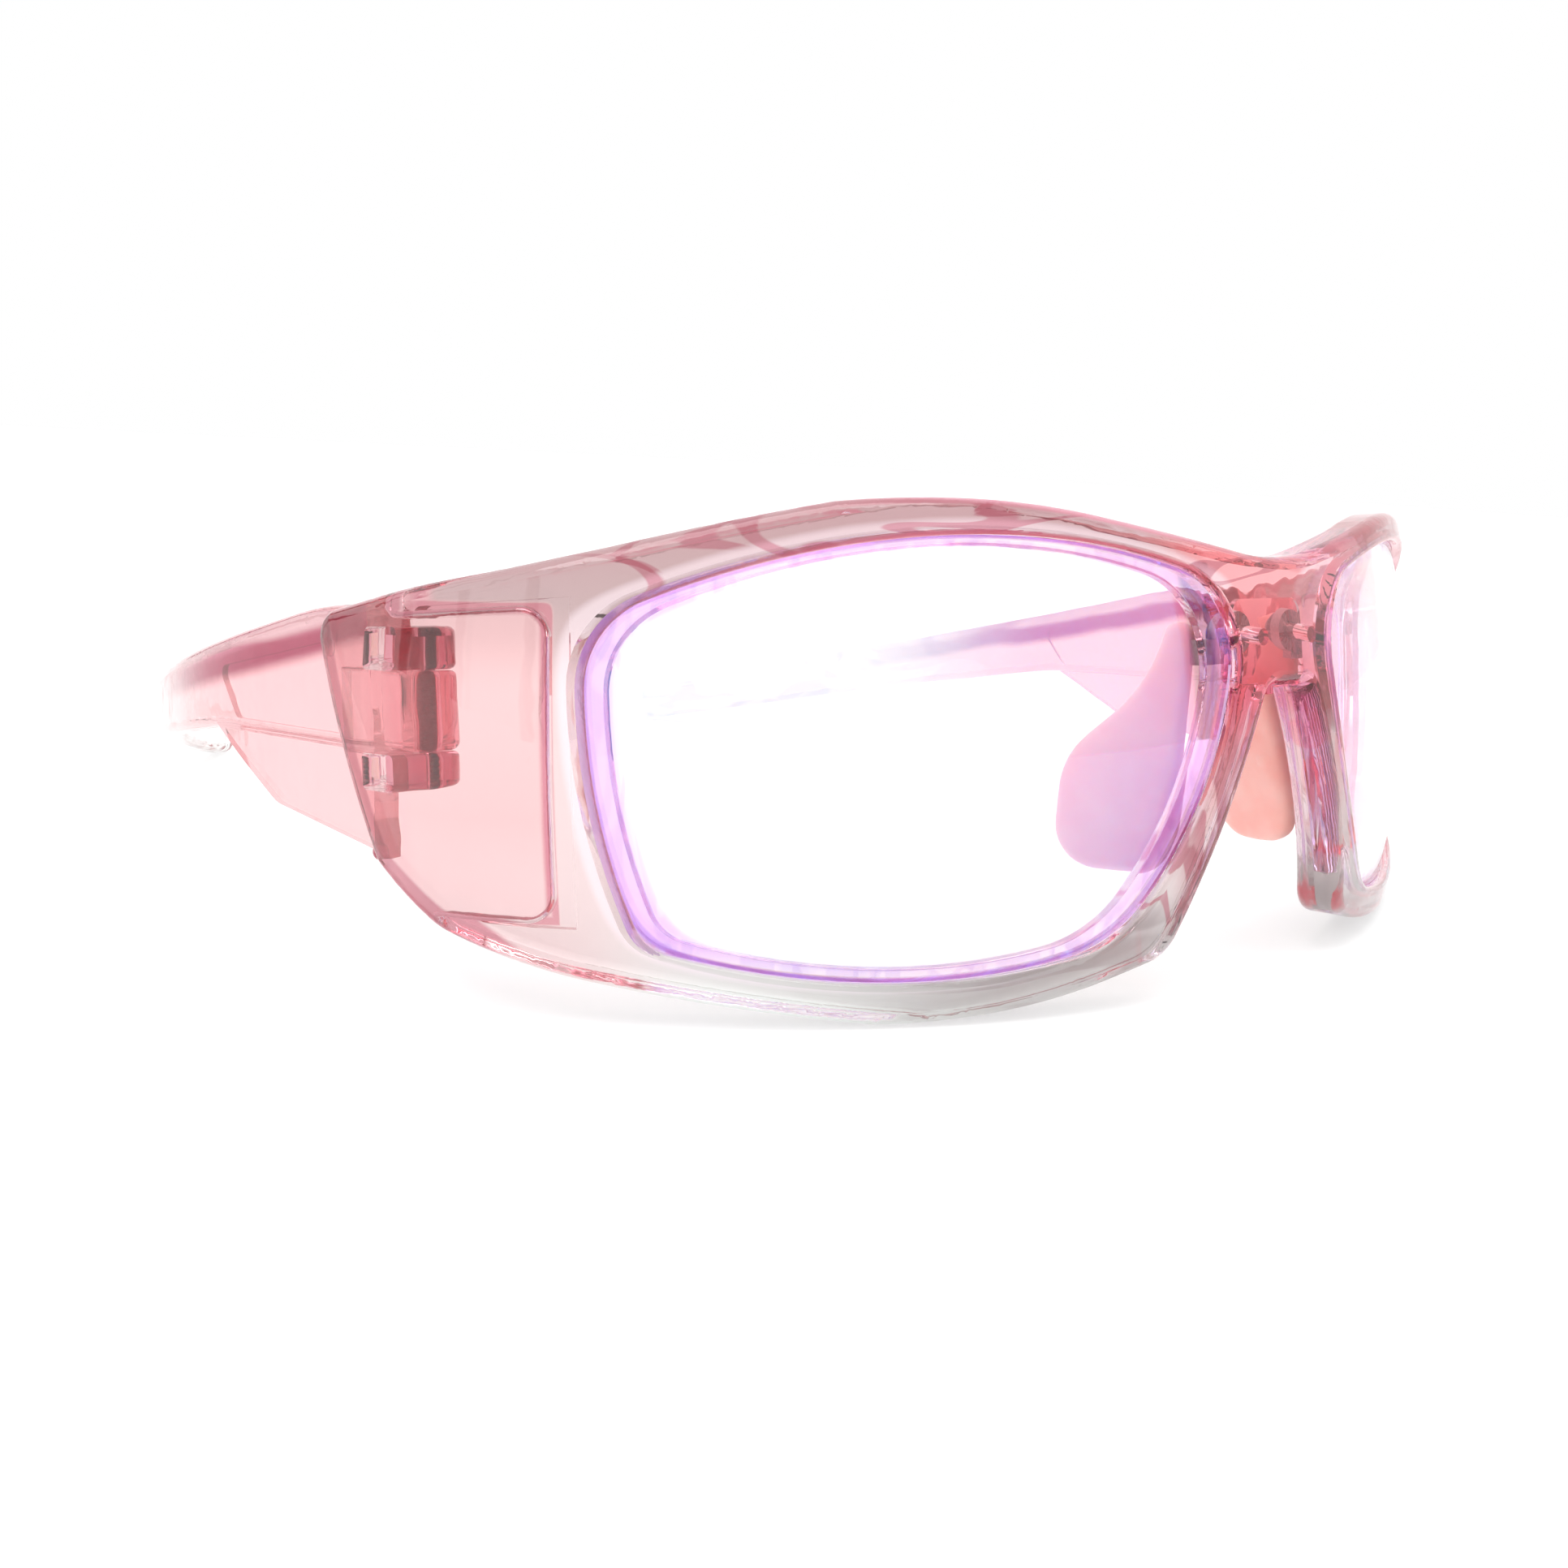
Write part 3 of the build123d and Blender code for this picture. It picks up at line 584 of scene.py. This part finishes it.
def temple_plastic():
    """Pink at the hinge, fading to clear at the tip, with a deep pink line along the top."""
    material, tree, shader = clear_plastic("temple_plastic", PLASTIC_IOR)
    point, x, y, z = worn_axes(tree)
    fall = product(tree, maths(tree, "SUBTRACT", y, ARM_SLOPE_Y), ARM_SLOPE)
    above = maths(tree, "ADD", z, fall)
    wave = product(tree, streaks(tree, point, **WAVE_STREAKS), WAVE_HEIGHT)
    tone = ramp(tree, maths(tree, "ADD", above, wave), TEMPLE_TONES)
    tone = mix(tree, smooth(tree, y, *ROOT_Y), tone, HINGE_RED)
    tone = mix(tree, smooth(tree, y, *TONGUE_Y), tone, TONGUE_RED)
    # Grey painted shade in streaks over the clear tip.
    clear = mix(tree, streaks(tree, point, **CLEAR_SHADE_STREAKS), TEMPLE_CLEAR, TEMPLE_SHADE)
    tree.links.new(mix(tree, smooth(tree, y, *CLEAR_Y), tone, clear), shader.inputs["Base Color"])
    polish(tree, shader, point)
    absorb(tree, DYE, TEMPLE_DENSITY)
    return material


def lens_plastic():
    """Clear with a film that reflects violet, and painted violet reflection of the coat: most in a band in
    front of the rim's lip, lilac towards the nose, and dark along the outline.
    """
    material, tree, shader = clear_plastic("lens_plastic", LENS_IOR)
    point, x, y, z = worn_axes(tree)
    across = lens_across(tree, x, y)
    edge = inside_outline(tree, across, z)
    on_face = smooth(tree, edge, *LENS_FACE_EDGE)

    # The lip leaves a smaller copy of the outline open, so stretch the point to measure from it.
    from_middle = maths(tree, "SUBTRACT", across, LIP_CENTRE_X)
    stretched = maths(tree, "ADD", maths(tree, "DIVIDE", from_middle, LIP_SHARE[0]), LIP_CENTRE_X)
    lip = inside_outline(tree, stretched, maths(tree, "DIVIDE", z, LIP_SHARE[1]))

    # Painted violet reflection of the coat, laid over the lens's clear tint.
    lilac = product(tree, smooth(tree, across, *LILAC_ACROSS, 0.0, LILAC_SHARE), on_face)
    tint_and_reflection = mix(tree, lilac, LENS_CLEAR, LENS_LILAC_REFLECTION)
    nasal = product(tree, smooth(tree, across, *LENS_NASAL_ACROSS), on_face)
    tint_and_reflection = mix(tree, nasal, tint_and_reflection, LENS_NASAL)
    ends = smooth(tree, maths(tree, "ABSOLUTE", from_middle), *BAND_ACROSS, *BAND_SHARE)
    tint_and_reflection = mix(tree, product(tree, smooth(tree, lip, *BAND_EDGE), ends, on_face), tint_and_reflection, LENS_BAND_REFLECTION)
    lines = smooth(tree, lip, *LENS_STREAK_EDGE, 0.0, LENS_STREAK_SHARE)
    lines = product(tree, streaks(tree, point, **LENS_STREAKS), lines)
    lines = maths(tree, "MAXIMUM", smooth(tree, edge, *LENS_LINE_EDGE), lines)
    tint_and_reflection = mix(tree, product(tree, lines, on_face), tint_and_reflection, LENS_LINE)
    tree.links.new(tint_and_reflection, shader.inputs["Base Color"])

    grain = bump(tree, shader, point, GRAIN_SCALE, GRAIN_HEIGHT)
    tree.links.new(smooth(tree, grain, *FLOW_RANGE, 0.0, LENS_ROUGHNESS), shader.inputs["Roughness"])
    film = smooth(tree, grain, *GRAIN_RANGE, *FILM_NM)
    tree.links.new(film, shader.inputs["Thin Film Thickness"])
    shader.inputs["Thin Film IOR"].default_value = FILM_IOR
    return material


def steel(name, colour, roughness, stretch):
    """Steel with fine brushed lines, drawn across the axes that are stretched most."""
    material, tree, shader = new_material(name)
    point, x, y, z = worn_axes(tree)
    brushed = vector(tree, "MULTIPLY", point, stretch).outputs[0]
    noise = node(tree, "ShaderNodeTexNoise", Vector=brushed, Scale=LINES_SCALE, Detail=LINES_DETAIL)
    lines = noise.outputs["Fac"]
    dark = tuple(LINES_DARK * part for part in colour)
    tone = mix(tree, smooth(tree, lines, *LINES_RANGE), dark, colour)
    tree.links.new(tone, shader.inputs["Base Color"])
    dull = smooth(tree, lines, *LINES_RANGE, roughness, roughness + LINES_ROUGHNESS)
    tree.links.new(dull, shader.inputs["Roughness"])
    shader.inputs["Metallic"].default_value = 1.0
    made = node(tree, "ShaderNodeBump", Height=lines, Strength=LINES_STRENGTH, Distance=LINES_HEIGHT)
    tree.links.new(made.outputs[0], shader.inputs["Normal"])
    return material


def silicone():
    """Soft matt silicone, a little cloudy."""
    material, tree, shader = new_material("pad_silicone")
    point, x, y, z = worn_axes(tree)
    cloud = node(tree, "ShaderNodeTexNoise", Vector=point, Scale=SILICONE_CLOUD, Detail=2.0)
    tone = mix(tree, smooth(tree, cloud.outputs["Fac"], *SILICONE_RANGE), *SILICONE_TONES)
    tree.links.new(tone, shader.inputs["Base Color"])
    shader.inputs["Roughness"].default_value = SILICONE_ROUGHNESS
    shader.inputs["Subsurface Weight"].default_value = SILICONE_SUBSURFACE
    shader.inputs["Subsurface Radius"].default_value = SILICONE_RADIUS
    shader.inputs["Subsurface Scale"].default_value = SILICONE_REACH
    bump(tree, shader, point, *SILICONE_GRAIN)
    return material


def assign(piece, material):
    """Give a piece one material in place of its own."""
    piece.data.materials.clear()
    piece.data.materials.append(material)


def crowned(point, across, along, facing):
    """A point of the right-hand pad moved out to the crown, or in where the arm's peg shows."""
    point = point - Vector(PAD_CENTRE)
    u, v, w = point.dot(across), point.dot(along), point.dot(facing)
    spread = sum(
        ((at - middle) / reach) ** 2 for at, middle, reach in zip((u, v), PAD_CROWN_AT, PAD_CROWN_R)
    )
    crown = PAD_CROWN * max(0.0, 1 - spread)
    if w < 0:
        from_peg = ((u - PEG_AT[0]) ** 2 + (v - PEG_AT[1]) ** 2) ** 0.5
        crown -= PEG_DEPTH * max(0.0, 1 - abs(from_peg - PEG_R) / PEG_WIDTH)
    w += crown * min(1.0, abs(w)) * (1 if w > 0 else -1)
    return Vector(PAD_CENTRE) + across * u + along * v + facing * w


def soft_pad(side):
    """Moulded silicone pad: the CAD pad remeshed, crowned over its round part and smoothed."""
    mirror = Vector((1 if side == "left" else -1, 1, 1))
    mesh = frame["nodes"][f"nose_pad_{side}"].data.copy()
    piece = bpy.data.objects.new(f"soft_nose_pad_{side}", mesh)
    bpy.context.scene.collection.objects.link(piece)
    remesh = piece.modifiers.new("remesh", "REMESH")
    remesh.mode = "VOXEL"
    remesh.voxel_size = PAD_VOXEL
    evaluated = piece.evaluated_get(bpy.context.evaluated_depsgraph_get())
    piece.data = bpy.data.meshes.new_from_object(evaluated)
    piece.modifiers.clear()

    across = Vector((sin(PAD_SPLAY), cos(PAD_SPLAY), 0))
    facing = Vector((cos(PAD_SPLAY) * cos(PAD_LEAN), -sin(PAD_SPLAY) * cos(PAD_LEAN), sin(PAD_LEAN)))
    along = facing.cross(across)
    to_worn = TO_ROW.inverted()
    for vertex in piece.data.vertices:
        point = crowned(to_worn @ vertex.co * mirror, across, along, facing)
        vertex.co = TO_ROW @ (point * mirror)
    piece.data.shade_smooth()
    soften = piece.modifiers.new("soften", "SMOOTH")
    soften.factor = PAD_SMOOTH_SHARE
    soften.iterations = PAD_SMOOTH_TIMES
    assign(piece, pad_material)
    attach(piece, "front")
    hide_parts(f"nose_pad_{side}")


screw_material = steel("screw_steel", SCREW_COLOUR, SCREW_ROUGHNESS, SCREW_LINES)
pad_material = silicone()
finishes = {
    "front_frame": frame_plastic(),
    "lens": lens_plastic(),
    "temple": temple_plastic(),
    "hinge_screw": screw_material,
    "nose_screw": screw_material,
    "nose_arm": steel("arm_steel", ARM_COLOUR, ARM_ROUGHNESS, ARM_LINES),
    "nose_pad": pad_material,
}
for name, piece in frame["nodes"].items():
    assign(piece, finishes.get(name) or finishes[name.rsplit("_", 1)[0]])

for side in ("left", "right"):
    soft_pad(side)

# Studio ------------------------------------------------------------------------------------------
# Windows of the room, brighter than its walls: azimuth, elevation and half size in degrees, brightness.
ROOM_WHITE = (1.22, 1.22, 1.22)
SEEN_WHITE = (1.0, 1.0, 1.0)
WINDOWS = ((-80, 60, 14, 5.0), (10, 75, 12, 5.0), (-42, 84, 18, 4.0))
WINDOW_EDGE = (1.15, 0.85)
# Narrow dark gaps between the room's screens: azimuths in degrees, half a width, and their top.
GAPS = (42, 180, -156, -132, -104, -74)
GAP_HALF = 3.0
GAP_LEVEL = (0.12, 0.10, 0.10)
GAP_TOP = (0.85, 0.75)
FLOOR_HALF = 3.0
FLOOR_WHITE = (0.5, 0.5, 0.5, 1)
FLOOR_GLOW = 0.52
FLOOR_ROUGHNESS = 0.9
FLOOR_SPECULAR = 0.1
LIGHT_BOUNCES = 32


def floor():
    """Plain pale floor."""
    corners = [(x * FLOOR_HALF, y * FLOOR_HALF, 0) for x, y in ((-1, -1), (1, -1), (1, 1), (-1, 1))]
    mesh = bpy.data.meshes.new("floor")
    mesh.from_pydata(corners, [], [(0, 1, 2, 3)])
    ground = bpy.data.objects.new("floor", mesh)
    bpy.context.scene.collection.objects.link(ground)
    material, tree, shader = new_material("floor")
    shader.inputs["Base Color"].default_value = FLOOR_WHITE
    shader.inputs["Emission Color"].default_value = (1, 1, 1, 1)
    shader.inputs["Emission Strength"].default_value = FLOOR_GLOW
    shader.inputs["Roughness"].default_value = FLOOR_ROUGHNESS
    shader.inputs["Specular IOR Level"].default_value = FLOOR_SPECULAR
    mesh.materials.append(material)


def towards(azimuth, elevation=0):
    """Unit vector towards a point of the room, in degrees; azimuth 0 is in front of the face."""
    a, e = radians(azimuth), radians(elevation)
    return sin(a) * cos(e), -cos(a) * cos(e), sin(e)


def within(tree, direction, centre, outer, inner):
    """How near a direction is to a centre: 0 outside one angle in degrees, 1 inside the other."""
    facing = vector(tree, "DOT_PRODUCT", direction, centre).outputs["Value"]
    return smooth(tree, facing, cos(radians(outer)), cos(radians(inner)))


def gap(tree, direction):
    """Where the upright dark gaps between the screens are, 0 to 1."""
    parts = node(tree, "ShaderNodeSeparateXYZ", Vector=direction)
    flat = node(tree, "ShaderNodeCombineXYZ", X=parts.outputs[0], Y=parts.outputs[1]).outputs[0]
    level_direction = vector(tree, "NORMALIZE", flat).outputs[0]
    found = 0.0
    for azimuth in GAPS:
        here = within(tree, level_direction, towards(azimuth), GAP_HALF, GAP_HALF / 2)
        found = maths(tree, "MAXIMUM", found, here)
    return product(tree, found, smooth(tree, parts.outputs[2], *GAP_TOP))


def world():
    """White room with bright windows and narrow dark gaps, so that clear edges show."""
    room = bpy.data.worlds.new("world")
    room.use_nodes = True
    tree = room.node_tree
    direction = tree.nodes.new("ShaderNodeTexCoord").outputs["Generated"]
    colour = mix(tree, gap(tree, direction), ROOM_WHITE, GAP_LEVEL)
    for azimuth, elevation, half_size, brightness in WINDOWS:
        edge = [half_size * share for share in WINDOW_EDGE]
        window = within(tree, direction, towards(azimuth, elevation), *edge)
        colour = mix(tree, window, colour, (brightness,) * 3)
    seen = tree.nodes.new("ShaderNodeLightPath").outputs["Is Camera Ray"]
    background = tree.nodes["Background"].inputs["Color"]
    tree.links.new(mix(tree, seen, colour, SEEN_WHITE), background)
    bpy.context.scene.world = room


floor()
world()
scene = bpy.context.scene
scene.view_settings.view_transform = "Standard"
scene.cycles.max_bounces = LIGHT_BOUNCES
scene.cycles.glossy_bounces = LIGHT_BOUNCES
scene.cycles.transmission_bounces = LIGHT_BOUNCES
